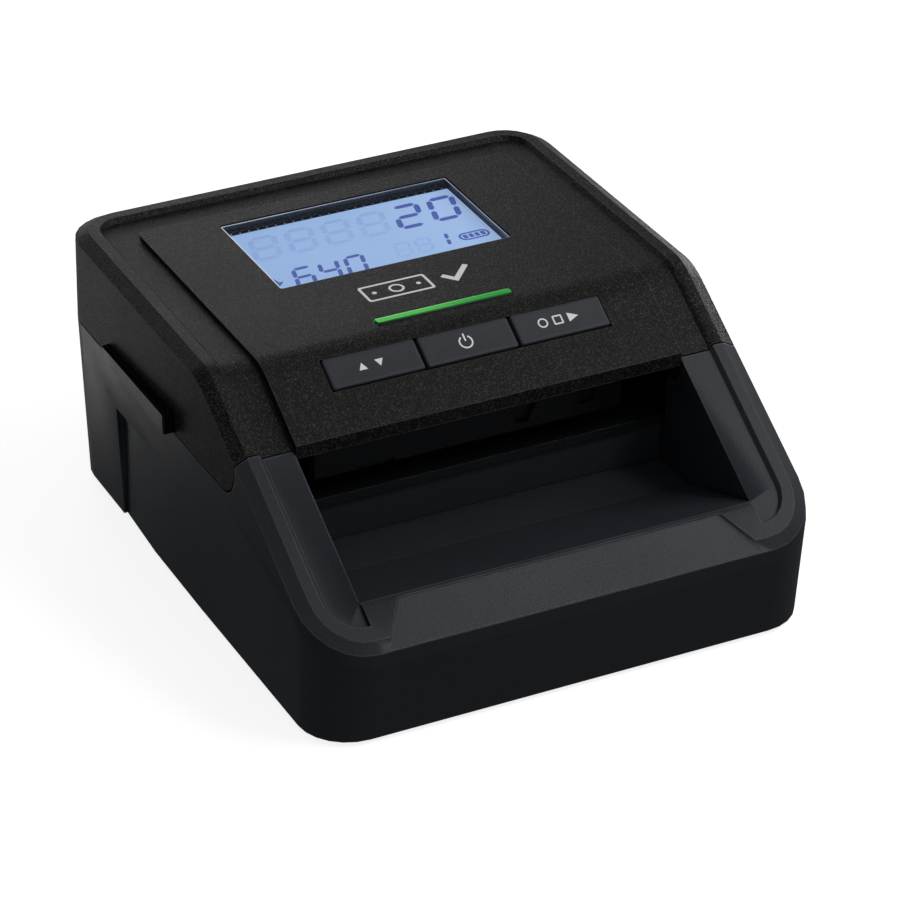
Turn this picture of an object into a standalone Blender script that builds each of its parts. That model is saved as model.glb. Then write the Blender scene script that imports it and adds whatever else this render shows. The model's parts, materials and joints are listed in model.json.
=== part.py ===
"""Counter-top counterfeit bill detector, modelled as an assembly of separate pieces.

+X is the operator's right, -Y the side that the operator faces, +Z up. The origin is on the
counter under the middle of the housing. Lengths below are in millimetres; MM turns them to metres.
Depths are drawn from a datum that lies DATUM_Y in front of the middle.
"""
import math

import bmesh
import bpy
from mathutils import Matrix, Vector

MM = 0.001

# ---------------------------------------------------------------- driving dimensions
HALF_W = 58.0            # housing half width at the seam, its widest line
FRONT = -67.0            # foremost point of the housing
BACK = 69.4              # rearmost point of the housing
DATUM_Y = 1.3            # depths are shifted forward by this much when they are stored
TAPER = 0.7              # each side comes in by this much towards the rear
FOOT_H = 1.2             # rubber feet lift the housing by this much
TOP_Z = 60.2             # top of the raised rim
SEAM_Z = 39.7            # joint between the lid and the lower shell
GAP = 0.3                # clearance between neighbouring pieces
WALL = 2.2               # shell thickness

SLOPE = 0.62             # rise per unit of depth of the sloping front
SLOPE_ANGLE = math.atan(SLOPE)
RIM_LINE = 65.14         # height of the rim's slope at y = 0
PANEL_LINE = 66.14       # height of the control panel's slope at y = 0
PANEL_TOP = 59.95        # flat part of the control panel
BEND_R = 14.0            # radius where the flat top turns down
CORNER_FRONT = 13.0      # plan radius of the front corners
CORNER_REAR = 11.4       # plan radius of the rear corners

CHAMFER_IN = 3.2         # the rim's outer chamfer, inwards
CHAMFER_DOWN = 1.65      # and downwards
RIM_W = 2.4              # flat top of the rim
BEVEL_IN = 0.9           # inner bevel of the rim
STRIP_DROP = 1.1         # side strips lie this far below the rim

JOINT_Y = -25.8          # where the lid meets the two arms
LIP_Y = -27.0            # front edge of the control panel
LIP_H = 3.0              # height of the lip over the mouth
TRAY_LOW = 19.8          # lowest level of the note tray
PANEL_HALF = 44.4        # half width of the raised control panel
PANEL_BACK = 55.6        # rear edge of the raised control panel
PANEL_R = 2.0           # its rear corners
TRAY_HALF = 44.6         # half width between the arms
NOTE_Z = 31.0            # surface of the feed deck

HINGE_Y = 67.3
HINGE_Z = 41.1
KNUCKLE_R = 1.9
PIN_R = 0.75

SHAFT_Z = 24.4           # drive shafts
SHAFT_R = 2.0
FRONT_SHAFT_Y = -8.0
REAR_SHAFT_Y = 38.0
ROLLER_R = 7.0
ROLLER_X = 18.0
ROLLER_W = 10.0
PINCH_R = 4.0
PINCH_Z = SHAFT_Z + ROLLER_R + GAP + PINCH_R
PINCH_SHAFT_R = 1.2

GEAR_MODULE = 0.6
GEAR_TEETH = 30
PINION_TEETH = 12
GEAR_X = (49.0, 53.0)
MESH_ANGLE = math.radians(-35)    # direction from the drive gear to the pinion

KEY_W = 20.9
KEY_PITCH = 21.55
KEY_LEN = 7.35
KEY_Y = -15.2
KEY_RISE = 0.5

WINDOW_HALF = 27.3
WINDOW_Y = (18.1, 50.6)
LIGHT_Y = -4.1
LIGHT_HALF = 15.9       # half length of the status light
LIGHT_W = 1.15          # half width of the status light
TAB_Y = (5.0, 42.0)
TAB_Z = (39.7, 44.2)
TAB_FALL = 2.0           # the tabs are this much lower at the rear
SPRING_Y = 35.5
DECK_HALF = 47.0
SCREW_X = 50.2           # base screws
SCREW_Y = (-49.0, 59.0)

# ---------------------------------------------------------------- scene
for old in list(bpy.data.objects):
    bpy.data.objects.remove(old, do_unlink=True)

parts = bpy.data.collections.new("Counterfeit_bill_detector")
cutters = bpy.data.collections.new("Cutters")
bpy.context.scene.collection.children.link(parts)
bpy.context.scene.collection.children.link(cutters)


def material(name, color, roughness, metallic=0.0, alpha=1.0):
    mat = bpy.data.materials.new(name)
    mat.use_nodes = True
    shader = mat.node_tree.nodes["Principled BSDF"]
    shader.inputs["Base Color"].default_value = (*color, 1.0)
    shader.inputs["Roughness"].default_value = roughness
    shader.inputs["Metallic"].default_value = metallic
    shader.inputs["Alpha"].default_value = alpha
    return mat


LID_BLACK = material("textured_black", (0.018, 0.018, 0.019), 0.55)
SHELL_GREY = material("satin_charcoal", (0.030, 0.032, 0.036), 0.45)
KEY_GREY = material("key_grey", (0.055, 0.058, 0.063), 0.5)
SMOKED = material("smoked_plastic", (0.012, 0.012, 0.014), 0.12)
CLEAR = material("clear_window", (0.8, 0.85, 0.9), 0.05, alpha=0.35)
LCD_BLUE = material("lcd_blue", (0.30, 0.42, 0.72), 0.3)
DIFFUSER = material("white_diffuser", (0.85, 0.87, 0.9), 0.6)
LIGHT_GREEN = material("light_green", (0.05, 0.55, 0.10), 0.25)
BOARD = material("board_green", (0.02, 0.16, 0.07), 0.45)
RUBBER = material("black_rubber", (0.02, 0.02, 0.02), 0.8)
STEEL = material("steel", (0.62, 0.62, 0.64), 0.3, 1.0)
BRASS = material("brass", (0.70, 0.52, 0.22), 0.35, 1.0)
WHITE_GEAR = material("acetal_white", (0.80, 0.79, 0.74), 0.4)
FRAME_BLACK = material("inner_black", (0.03, 0.03, 0.03), 0.5)


# ---------------------------------------------------------------- building tools
def store(name, bm, mat=None, origin=(0, 0, 0), cutter=False):
    """Turn a bmesh in world millimetres into an object whose origin is at the given point."""
    bmesh.ops.recalc_face_normals(bm, faces=bm.faces)
    bmesh.ops.transform(bm, matrix=Matrix.Scale(MM, 4) @ Matrix.Translation(-Vector(origin)),
                        verts=bm.verts)
    placed = Vector(origin) - Vector((0, DATUM_Y, 0))
    mesh = bpy.data.meshes.new(name)
    bm.to_mesh(mesh)
    bm.free()
    obj = bpy.data.objects.new(name, mesh)
    obj.location = placed * MM
    if mat:
        mesh.materials.append(mat)
    (cutters if cutter else parts).objects.link(obj)
    if cutter:
        obj.hide_render = True
        obj.display_type = "WIRE"
    return obj


def box(lo, hi):
    bm = bmesh.new()
    bmesh.ops.create_cube(bm, size=1.0)
    size = Vector(hi) - Vector(lo)
    centre = (Vector(hi) + Vector(lo)) / 2
    bmesh.ops.transform(bm, matrix=Matrix.Translation(centre) @ Matrix.Diagonal((*size, 1)),
                        verts=bm.verts)
    return bm


AXIS_TURN = {
    "X": Matrix.Rotation(math.radians(90), 4, "Y"),
    "Y": Matrix.Rotation(math.radians(-90), 4, "X"),
    "Z": Matrix.Identity(4),
}


def rod(axis, centre, radius, length, segments=20, radius_end=None):
    """Cylinder or cone along an axis, centred on a point."""
    bm = bmesh.new()
    bmesh.ops.create_cone(bm, cap_ends=True, segments=segments, radius1=radius,
                          radius2=radius if radius_end is None else radius_end, depth=length)
    bmesh.ops.transform(bm, matrix=Matrix.Translation(centre) @ AXIS_TURN[axis], verts=bm.verts)
    return bm


def circle(cu, cv, radius, segments=20):
    steps = [2 * math.pi * i / segments for i in range(segments)]
    return [(cu + radius * math.cos(a), cv + radius * math.sin(a)) for a in steps]


def rounded(u0, u1, v0, v1, radius, steps=4):
    """Corner points of a rounded rectangle."""
    points = []
    corners = [(u1 - radius, v0 + radius, -90), (u1 - radius, v1 - radius, 0),
               (u0 + radius, v1 - radius, 90), (u0 + radius, v0 + radius, 180)]
    for cu, cv, start in corners:
        for i in range(steps + 1):
            a = math.radians(start + 90 * i / steps)
            points.append((cu + radius * math.cos(a), cv + radius * math.sin(a)))
    return points


# an outline in the plane across each axis: (y, z) for X, (x, z) for Y, (x, y) for Z
OUTLINE_FRAME = {
    "X": Matrix(((0, 0, 1, 0), (1, 0, 0, 0), (0, 1, 0, 0), (0, 0, 0, 1))),
    "Y": Matrix(((1, 0, 0, 0), (0, 0, -1, 0), (0, 1, 0, 0), (0, 0, 0, 1))),
    "Z": Matrix.Identity(4),
}


def extruded(axis, lo, hi, *outlines):
    """Flat outline, with any holes, extruded between two positions along an axis."""
    curve = bpy.data.curves.new("outline", "CURVE")
    curve.dimensions = "2D"
    curve.fill_mode = "BOTH"
    curve.extrude = (hi - lo) / 2
    for outline in outlines:
        spline = curve.splines.new("POLY")
        spline.points.add(len(outline) - 1)
        for point, (u, v) in zip(spline.points, outline):
            point.co = (u, v, 0, 1)
        spline.use_cyclic_u = True
    guide = bpy.data.objects.new("outline", curve)
    cutters.objects.link(guide)
    graph = bpy.context.evaluated_depsgraph_get()
    mesh = bpy.data.meshes.new_from_object(guide.evaluated_get(graph))
    bm = bmesh.new()
    bm.from_mesh(mesh)
    bpy.data.objects.remove(guide, do_unlink=True)
    bmesh.ops.remove_doubles(bm, verts=bm.verts, dist=0.0005)
    middle = (lo + hi) / 2
    offset = {"X": (middle, 0, 0), "Y": (0, middle, 0), "Z": (0, 0, middle)}[axis]
    bmesh.ops.transform(bm, matrix=Matrix.Translation(offset) @ OUTLINE_FRAME[axis], verts=bm.verts)
    return bm


def turned(name, mat, centre, axis, profile, steps=20):
    """Solid of revolution; the profile lists (radius, height) from top to bottom."""
    bm = bmesh.new()
    verts = [bm.verts.new((r * MM, 0, h * MM)) for r, h in profile]
    for a, b in zip(verts, verts[1:]):
        bm.edges.new((a, b))
    mesh = bpy.data.meshes.new(name)
    bm.to_mesh(mesh)
    bm.free()
    mesh.materials.append(mat)
    obj = bpy.data.objects.new(name, mesh)
    parts.objects.link(obj)
    placed = Vector(centre) - Vector((0, DATUM_Y, 0))
    obj.matrix_world = Matrix.Translation(placed * MM) @ AXIS_TURN[axis]
    turn = obj.modifiers.new("turn", "SCREW")
    turn.steps = steps
    turn.render_steps = steps
    turn.use_merge_vertices = True
    turn.merge_threshold = 0.00001
    turn.use_normal_calculate = True
    return obj


def combine(obj, operation, bm):
    """Keep a Boolean with a hidden helper solid on the object."""
    helper = store(f"{obj.name}_{operation.lower()}_{len(obj.modifiers)}", bm, cutter=True)
    mod = obj.modifiers.new(operation.lower(), "BOOLEAN")
    mod.operation = operation
    mod.solver = "EXACT"
    mod.object = helper
    return obj


def cut(obj, *solids):
    for bm in solids:
        combine(obj, "DIFFERENCE", bm)


def join(obj, *solids):
    for bm in solids:
        combine(obj, "UNION", bm)


def edge_bevel(obj, width, segments=1, angle=40):
    mod = obj.modifiers.new("edges", "BEVEL")
    mod.width = width * MM
    mod.segments = segments
    mod.limit_method = "ANGLE"
    mod.angle_limit = math.radians(angle)
    return obj


def shade(obj, angle=35):
    obj.data.shade_smooth()
    obj.data.set_sharp_from_angle(angle=math.radians(angle))
    return obj


# ---------------------------------------------------------------- housing surfaces
def profile_z(y, flat, line):
    """Height of a surface that is flat behind the bend and slopes in front of it."""
    bend = (flat - line) / SLOPE
    tangent = BEND_R * math.tan(SLOPE_ANGLE / 2)
    start = bend + tangent
    if y >= start:
        return flat
    if y <= bend - tangent * math.cos(SLOPE_ANGLE):
        return line + SLOPE * y
    return flat - BEND_R + math.sqrt(BEND_R ** 2 - (y - start) ** 2)


def rim_z(y):
    return profile_z(y, TOP_Z, RIM_LINE)


def bend_stations(flat=TOP_Z, line=RIM_LINE):
    bend = (flat - line) / SLOPE
    tangent = BEND_R * math.tan(SLOPE_ANGLE / 2)
    first = bend - tangent * math.cos(SLOPE_ANGLE)
    last = bend + tangent
    return [first + (last - first) * i / 5 for i in range(6)]


def plan_half(side, front, rear, r_front, r_rear, arc=6):
    """Right half of the housing's plan, front to rear, with each side set in by a distance."""
    x_edge = HALF_W - side
    points = []
    for i in range(arc + 1):
        a = math.pi / 2 * i / arc
        points.append((x_edge - r_front + r_front * math.sin(a),
                       FRONT + front + r_front - r_front * math.cos(a)))
    points += [(x_edge, y) for y in bend_stations()]
    x_edge -= TAPER
    for i in range(arc + 1):
        a = math.pi / 2 * i / arc
        points.append((x_edge - r_rear + r_rear * math.cos(a),
                       BACK - rear - r_rear + r_rear * math.sin(a)))
    return points


def housing(rings):
    """Loft through rings: side, front and rear inset, two corner radii, height against depth."""
    bm = bmesh.new()
    loops = []
    for side, front, rear, r_front, r_rear, height in rings:
        half = plan_half(side, front, rear, r_front, r_rear)
        right = [bm.verts.new((x, y, height(y))) for x, y in half]
        left = [bm.verts.new((-x, y, height(y))) for x, y in half]
        loops.append(right + left[::-1])
    count = len(loops[0])
    for lower, upper in zip(loops, loops[1:]):
        for i in range(count):
            j = (i + 1) % count
            bm.faces.new((lower[i], lower[j], upper[j], upper[i]))
    for loop in (loops[0], loops[-1]):
        for i in range(count // 2 - 1):
            j = count - 1 - i
            bm.faces.new((loop[i], loop[i + 1], loop[j - 1], loop[j]))
    bmesh.ops.triangulate(bm, faces=bm.faces)
    return bm


def shoulder_z(y):
    """Lower edge of the rim's outer chamfer, which is shallower round the front."""
    return rim_z(y) - CHAMFER_DOWN + 0.45 * min(1.0, max(0.0, (-50.0 - y) / 15))


def outer_body():
    inner_edge = CHAMFER_IN + RIM_W
    return housing([
        (1.1, 2.8, 1.2, 11.0, 10.6, lambda y: FOOT_H),
        (0.0, 0.2, 0.0, CORNER_FRONT, CORNER_REAR, lambda y: min(SEAM_Z, shoulder_z(y) - 2.8)),
        (0.3, 0.3, 0.3, CORNER_FRONT - 0.4, CORNER_REAR - 0.3, shoulder_z),
        (CHAMFER_IN, 2.05, CHAMFER_IN, 9.8, 8.4, rim_z),
        (inner_edge, 4.9, inner_edge, 7.2, 6.0, rim_z),
        (inner_edge + BEVEL_IN, 4.9 + BEVEL_IN, inner_edge + BEVEL_IN, 6.3, 5.1,
         lambda y: rim_z(y) - STRIP_DROP),
    ])


def inner_core():
    """The space inside the shells, open at the bottom."""
    top_edge = CHAMFER_IN + RIM_W + 1.2
    return housing([
        (1.1 + WALL, 2.8 + WALL, 1.2 + WALL, 8.8, 8.4, lambda y: FOOT_H - 4),
        (WALL, WALL + 0.4, WALL, 10.8, 9.2, lambda y: min(SEAM_Z, rim_z(y) - CHAMFER_DOWN - 3.4)),
        (WALL + 0.6, WALL + 0.6, WALL + 0.6, 10.2, 8.6, lambda y: rim_z(y) - CHAMFER_DOWN - 1.4),
        (top_edge, top_edge, top_edge, 6.0, 4.8, lambda y: rim_z(y) - STRIP_DROP - WALL),
    ])


def lid_zone(gap):
    """Side outline of everything that belongs to the lid, extruded across the housing."""
    front = JOINT_Y - gap
    seam = SEAM_Z - gap
    outline = [(front, 90.0), (front, seam + 5.6), (front + 0.6, seam + 3.6), (front + 1.4, seam + 2.1),
               (front + 2.6, seam + 0.9), (front + 4.0, seam + 0.2), (front + 5.2, seam)]
    outline += [(90.0, seam), (90.0, 90.0)]
    return extruded("X", -70, 70, outline)


def panel_solid():
    """The raised control panel: its side outline extruded across its width."""
    ys = [LIP_Y] + bend_stations(PANEL_TOP, PANEL_LINE) + [PANEL_BACK - PANEL_R]
    top = [(y, profile_z(y, PANEL_TOP, PANEL_LINE)) for y in ys]
    under = [(y, z - LIP_H) for y, z in reversed(top)]
    return extruded("X", -PANEL_HALF, PANEL_HALF, top + under)


def panel_rear():
    """Rear edge of the control panel, with its two rounded corners."""
    plan = [(-PANEL_HALF, PANEL_BACK - PANEL_R - 1.0), (PANEL_HALF, PANEL_BACK - PANEL_R - 1.0)]
    for centre_x, start in ((PANEL_HALF - PANEL_R, 0), (PANEL_R - PANEL_HALF, 90)):
        for i in range(6):
            a = math.radians(start + 18 * i)
            plan.append((centre_x + PANEL_R * math.cos(a), PANEL_BACK - PANEL_R + PANEL_R * math.sin(a)))
    return extruded("Z", PANEL_TOP - LIP_H, PANEL_TOP, plan)


def on_panel(along, depth):
    """Side position (y, z) at a distance up the control panel's slope from the keys' middle."""
    surface = PANEL_LINE + SLOPE * KEY_Y
    return (KEY_Y + along * math.cos(SLOPE_ANGLE) + depth * math.sin(SLOPE_ANGLE),
            surface + along * math.sin(SLOPE_ANGLE) - depth * math.cos(SLOPE_ANGLE))


def slope_block(x0, x1, along0, along1, depth0, depth1):
    corners = [(along0, depth1), (along1, depth1), (along1, depth0), (along0, depth0)]
    return extruded("X", x0, x1, [on_panel(a, d) for a, d in corners])


# ---------------------------------------------------------------- lid
def knuckle_spans(lid):
    """The five hinge knuckles across the back; the lid has the second and the fourth."""
    length = 20.0
    pitch = length + 0.4
    owners = (1, 3) if lid else (0, 2, 4)
    return [((i - 2) * pitch - length / 2, (i - 2) * pitch + length / 2) for i in owners]


def hinge_barrels(obj, lid):
    """Each knuckle is a barrel with a web that runs into the rear wall."""
    up = 1 if lid else -1
    outline = []
    for i in range(11):
        a = math.radians(60 - 30 * i)
        outline.append((HINGE_Y + KNUCKLE_R * math.cos(a), HINGE_Z + up * KNUCKLE_R * math.sin(a)))
    outline += [(HINGE_Y - 0.7, HINGE_Z + up * 4.3), (HINGE_Y + 0.95, HINGE_Z + up * 4.3)]
    for x0, x1 in knuckle_spans(lid):
        join(obj, extruded("X", x0, x1, outline))
    cut(obj, rod("X", (0, HINGE_Y, HINGE_Z), PIN_R + GAP, 104, 12))


def make_lid():
    lid = store("lid_cover", outer_body(), LID_BLACK)
    combine(lid, "INTERSECT", lid_zone(0.0))
    cut(lid, inner_core())
    join(lid, panel_solid(), panel_rear())
    # cheeks beside the mouth and posts that carry the upper note guide
    for s in (-1, 1):
        x0, x1 = sorted((s * (TRAY_HALF + 0.2), s * (TRAY_HALF + 2.2)))
        cheek = [(JOINT_Y + 0.5, 44.6), (JOINT_Y + 4.6, SEAM_Z + 0.4), (-6.0, SEAM_Z + 0.4),
                 (-6.0, 58.8), (JOINT_Y + 0.5, 47.4)]
        join(lid, extruded("X", x0, x1, cheek))
        join(lid, rod("Z", (s * 39.5, 2.0, 51.6), 3.0, 14.6, 14))
        cut(lid, rod("Z", (s * 39.5, 2.0, 47.0), 1.1, 10.0, 10))
        x0, x1 = sorted((s * 46.0, s * 47.4))
        join(lid, box((x0, SPRING_Y - 3.0, 40.2), (x1, SPRING_Y + 3.0, 58.0)))
    # hinge side: the rear edge stops above the barrels
    cut(lid, box((-70, HINGE_Y - 1.9, 30), (70, 80, HINGE_Z + KNUCKLE_R + GAP)))
    hinge_barrels(lid, True)
    # openings for the window, the status light, the keys and the release tabs
    cut(lid, extruded("Z", 50, 70, rounded(-WINDOW_HALF, WINDOW_HALF, *WINDOW_Y, 0.6, 2)))
    cut(lid, extruded("Z", 50, 70, rounded(-LIGHT_HALF - 0.2, LIGHT_HALF + 0.2, LIGHT_Y - LIGHT_W - 0.2,
                                           LIGHT_Y + LIGHT_W + 0.2, 1.1, 3)))
    row = KEY_PITCH + KEY_W / 2 + GAP
    cut(lid, slope_block(-row, row, -KEY_LEN / 2 - GAP, KEY_LEN / 2 + GAP, -4, 8))
    for s in (-1, 1):
        x0, x1 = sorted((s * 50, s * 62))
        cut(lid, extruded("X", x0, x1, tab_side(GAP, SEAM_Z - 2, GAP)))
    return lid


def tab_side(past, bottom, over):
    """Side outline of a release tab; its top falls towards the rear."""
    y0, y1 = TAB_Y[0] - past, TAB_Y[1] + past
    return [(y0, bottom), (y1, bottom), (y1, TAB_Z[1] - TAB_FALL + over), (y0, TAB_Z[1] + over)]


def make_display():
    y0, y1 = WINDOW_Y
    window = store("display_window", box((-WINDOW_HALF + GAP, y0 + GAP, PANEL_TOP - 1.9),
                                         (WINDOW_HALF - GAP, y1 - GAP, PANEL_TOP - 0.3)), CLEAR)
    edge_bevel(window, 0.3)
    under = PANEL_TOP - LIP_H - GAP
    frame = store("lcd_frame", extruded("Z", under - 5.0, under - 0.3,
                                        rounded(-31.5, 31.5, y0 - 4, y1 + 4, 1.5, 2),
                                        rounded(-28.8, 28.8, y0 - 1.3, y1 + 1.3, 0.4, 2)), FRAME_BLACK)
    panel = store("lcd_panel", box((-28.5, y0 - 1, under - 2.2), (28.5, y1 + 1, under - 0.3)), LCD_BLUE)
    backlight = store("lcd_backlight", box((-28.5, y0 - 1, under - 4.8), (28.5, y1 + 1, under - 2.5)), DIFFUSER)
    board = store("display_board", box((-35, 8, under - 7.0), (35, 56, under - 5.4)), BOARD)
    join(board, box((-18, LIGHT_Y + 3, under - 7.0), (18, 9, under - 5.4)))
    join(board, box((-14, 24, under - 9.2), (-2, 36, under - 6.2)), box((8, 28, under - 8.8), (20, 34, under - 6.2)))
    pipe = store("status_light_pipe",
                 extruded("Z", PANEL_TOP - 3.6, PANEL_TOP + 0.3,
                          rounded(-LIGHT_HALF, LIGHT_HALF, LIGHT_Y - LIGHT_W, LIGHT_Y + LIGHT_W, 0.9, 3)),
                 LIGHT_GREEN)
    for obj in (frame, panel, backlight):
        edge_bevel(obj, 0.2)
    return [window, frame, panel, backlight, board, pipe]


def make_keys():
    """Three keys: a T-shaped section, so that the wider foot stays behind the panel."""
    foot = KEY_LEN / 2 + 1.2
    half = KEY_LEN / 2
    deep = 5.4
    shelf = 4.1
    section = [(-foot, deep), (foot, deep), (foot, shelf), (half, shelf), (half, -KEY_RISE),
               (-half, -KEY_RISE), (-half, shelf), (-foot, shelf)]
    outline = [on_panel(a, d) for a, d in section]
    y, z = on_panel(0, -KEY_RISE)
    for name, i in (("arrow_key", -1), ("power_key", 0), ("function_key", 1)):
        x = i * KEY_PITCH
        key = store(name, extruded("X", x - KEY_W / 2, x + KEY_W / 2, outline), KEY_GREY, (x, y, z))
        edge_bevel(key, 0.3, 1)
    board = store("keypad_board", slope_block(-33, 33, -8.5, 8.5, 8.6, 10.2), BOARD)
    for i in (-1, 0, 1):
        x = i * KEY_PITCH
        join(board, slope_block(x - 3, x + 3, -3, 3, 6.2, 9.0))


def make_release_tabs():
    """Side tabs that are pressed in to free the lid, each with its return spring."""
    y_mid = sum(TAB_Y) / 2
    for side, s in (("left", -1), ("right", 1)):
        def span(a, b):
            return sorted((s * a, s * b))
        wedge = [(56.2, TAB_Y[0]), (60.0, TAB_Y[0]), (60.3, TAB_Y[0] + 0.4), (59.0, TAB_Y[1] - 0.4),
                 (58.7, TAB_Y[1]), (56.2, TAB_Y[1])]
        tab = store(f"release_tab_{side}", extruded("Z", *TAB_Z, [(s * x, y) for x, y in wedge]),
                    SHELL_GREY, (s * 60.3, y_mid, sum(TAB_Z) / 2))
        combine(tab, "INTERSECT", extruded("X", -70, 70, tab_side(2, SEAM_Z - 2, 0)))
        # finger groove along the top, flange behind the wall and the hook that reaches down
        x0, x1 = span(58.3, 58.9)
        top_front, top_rear = TAB_Z[1], TAB_Z[1] - TAB_FALL
        groove = [(TAB_Y[0] + 1.2, top_front - 1.0), (TAB_Y[1] - 1.2, top_rear - 1.0),
                  (TAB_Y[1] - 1.2, top_front + 3), (TAB_Y[0] + 1.2, top_front + 3)]
        cut(tab, extruded("X", x0, x1, groove))
        x0, x1 = span(54.2, 56.6)
        join(tab, extruded("X", x0, x1, tab_side(-2, TAB_Z[0] + 0.5, -0.5)))
        x0, x1 = span(53.6, 54.9)
        join(tab, box((x0, TAB_Y[0] - 2, TAB_Z[0] + 0.3), (x1, TAB_Y[1] + 2, TAB_Z[1] + 1.6)))
        x0, x1 = span(53.6, 54.6)
        join(tab, box((x0, y_mid - 4, 34.8), (x1, y_mid + 4, TAB_Z[0] + 1)))
        make_spring(f"tab_spring_{side}", s, SPRING_Y, 42.6)


def make_spring(name, s, y, z):
    """Compression spring between the tab's flange and the rib inside the lid."""
    turns = 3
    per_turn = 9
    count = turns * per_turn + 1
    x_near = 53.1
    x_far = 49.3
    curve = bpy.data.curves.new(name, "CURVE")
    curve.dimensions = "3D"
    curve.bevel_depth = 0.22 * MM
    curve.bevel_resolution = 2
    curve.use_fill_caps = True
    spline = curve.splines.new("POLY")
    spline.points.add(count - 1)
    for i, point in enumerate(spline.points):
        a = 2 * math.pi * i / per_turn
        x = s * (x_near + (x_far - x_near) * i / (count - 1))
        point.co = (x * MM, (y - DATUM_Y + 1.5 * math.cos(a)) * MM, (z + 1.5 * math.sin(a)) * MM, 1)
    obj = bpy.data.objects.new(name, curve)
    curve.materials.append(STEEL)
    parts.objects.link(obj)


# ---------------------------------------------------------------- upper note guide
def make_upper_guide():
    floor_z = NOTE_Z + 2.0
    y0, y1 = -16.5, 56.0
    guide = store("upper_guide", box((-36.5, y0, floor_z), (36.5, y1, 44.0)), SMOKED)
    edge_bevel(guide, 0.8, 1)
    cut(guide, box((-34.5, y0 + 2, floor_z + 2), (34.5, y1 - 2, 60)))
    for s in (-1, 1):
        x0, x1 = sorted((s * 36.0, s * 43.0))
        join(guide, box((x0, -2.0, 42.0), (x1, 6.0, 44.0)))
        cut(guide, rod("Z", (s * 39.5, 2.0, 43.0), 1.4, 6, 10))
    for y in (FRONT_SHAFT_Y, REAR_SHAFT_Y):
        cut(guide, rod("X", (0, y, PINCH_Z), PINCH_SHAFT_R + GAP, 80, 12))
        for s in (-1, 1):
            x0, x1 = sorted((s * (ROLLER_X - 5.6), s * (ROLLER_X + 5.6)))
            cut(guide, box((x0, y - 4.8, floor_z - 2), (x1, y + 4.8, floor_z + 5)))
    # notches of the front face and the opening over the optical window
    cut(guide, box((-26.2, y0 - 1, floor_z - 1), (-17.5, y0 + 1.2, floor_z + 1.5)))
    cut(guide, extruded("Y", y0 - 1, y0 + 1.2, [(10.8, 35.4), (13.7, 35.4), (15.6, 39.4), (9.6, 39.4)]))
    cut(guide, box((25.5, y0 - 1, 36.4), (29.4, y0 + 1.2, 41.0)))
    cut(guide, box((-30.3, 7.7, floor_z - 2), (30.3, 16.3, floor_z + 4)))
    window = store("upper_sensor_window", box((-30, 8, floor_z + 0.3), (30, 16, floor_z + 1.7)), SMOKED)
    for s, side in ((-1, "left"), (1, "right")):
        screw = turned(f"guide_screw_{side}", STEEL, (s * 39.5, 2.0, 41.7), "Z",
                       [(0, 8.0), (0.8, 7.4), (0.8, 0.0), (2.3, 0.0), (2.3, -1.0), (1.9, -1.4), (0, -1.4)], 12)
        shade(screw)
    for y, place in ((FRONT_SHAFT_Y, "front"), (REAR_SHAFT_Y, "rear")):
        axle = store(f"pinch_shaft_{place}", rod("X", (0, y, PINCH_Z), PINCH_SHAFT_R, 72, 12), STEEL,
                     (0, y, PINCH_Z))
        shade(axle)
        for s, side in ((-1, "left"), (1, "right")):
            roller = store(f"pinch_roller_{place}_{side}",
                           extruded("X", s * ROLLER_X - 4.5, s * ROLLER_X + 4.5, circle(y, PINCH_Z, PINCH_R, 20),
                                    circle(y, PINCH_Z, PINCH_SHAFT_R + GAP, 12)), WHITE_GEAR, (0, y, PINCH_Z))
            edge_bevel(roller, 0.4, 1, 60)
            shade(roller)
    return window


# ---------------------------------------------------------------- lower housing
def tray_hollow():
    """Space over the note tray: level behind, a ramp up to the crest, then the sloping ledge."""
    crest_y, crest_z = -57.0, 29.1
    outline = [(-19.0, 90.0), (-19.0, TRAY_LOW), (crest_y + (crest_z - TRAY_LOW) / 0.36, TRAY_LOW),
               (crest_y, crest_z), (crest_y, 90.0)]
    return extruded("X", -TRAY_HALF, TRAY_HALF, outline)


def tray_block():
    """What stays solid round the tray when the shell is hollowed out."""
    outline = [(-16.9, 90.0), (-16.9, TRAY_LOW - WALL), (-31.5, TRAY_LOW - WALL), (-56.6, 26.7),
               (-58.6, 19.4), (-75.0, 19.4), (-75.0, 90.0)]
    return extruded("X", -TRAY_HALF - WALL, TRAY_HALF + WALL, outline)


def ledge():
    """Raised front ledge between the arms, level with the rim."""
    outline = [(-57.0, 28.0), (-57.0, 29.1), (-58.6, rim_z(-58.6)), (-63.4, rim_z(-63.4)), (-63.4, 23.4),
               (-60.0, 23.4)]
    return extruded("X", -TRAY_HALF, TRAY_HALF, outline)


def scoop():
    """Finger scoop in the ledge, wider and deeper towards the front."""
    bm = bmesh.new()
    for s in (-1, 1):
        for x, y, z in ((36.2, -58.0, 28.4), (43.6, -68.4, 21.6), (39.5, -58.0, 36.0), (46.9, -68.4, 36.0)):
            bm.verts.new((s * x, y, z))
    bmesh.ops.convex_hull(bm, input=bm.verts)
    return bm


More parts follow.
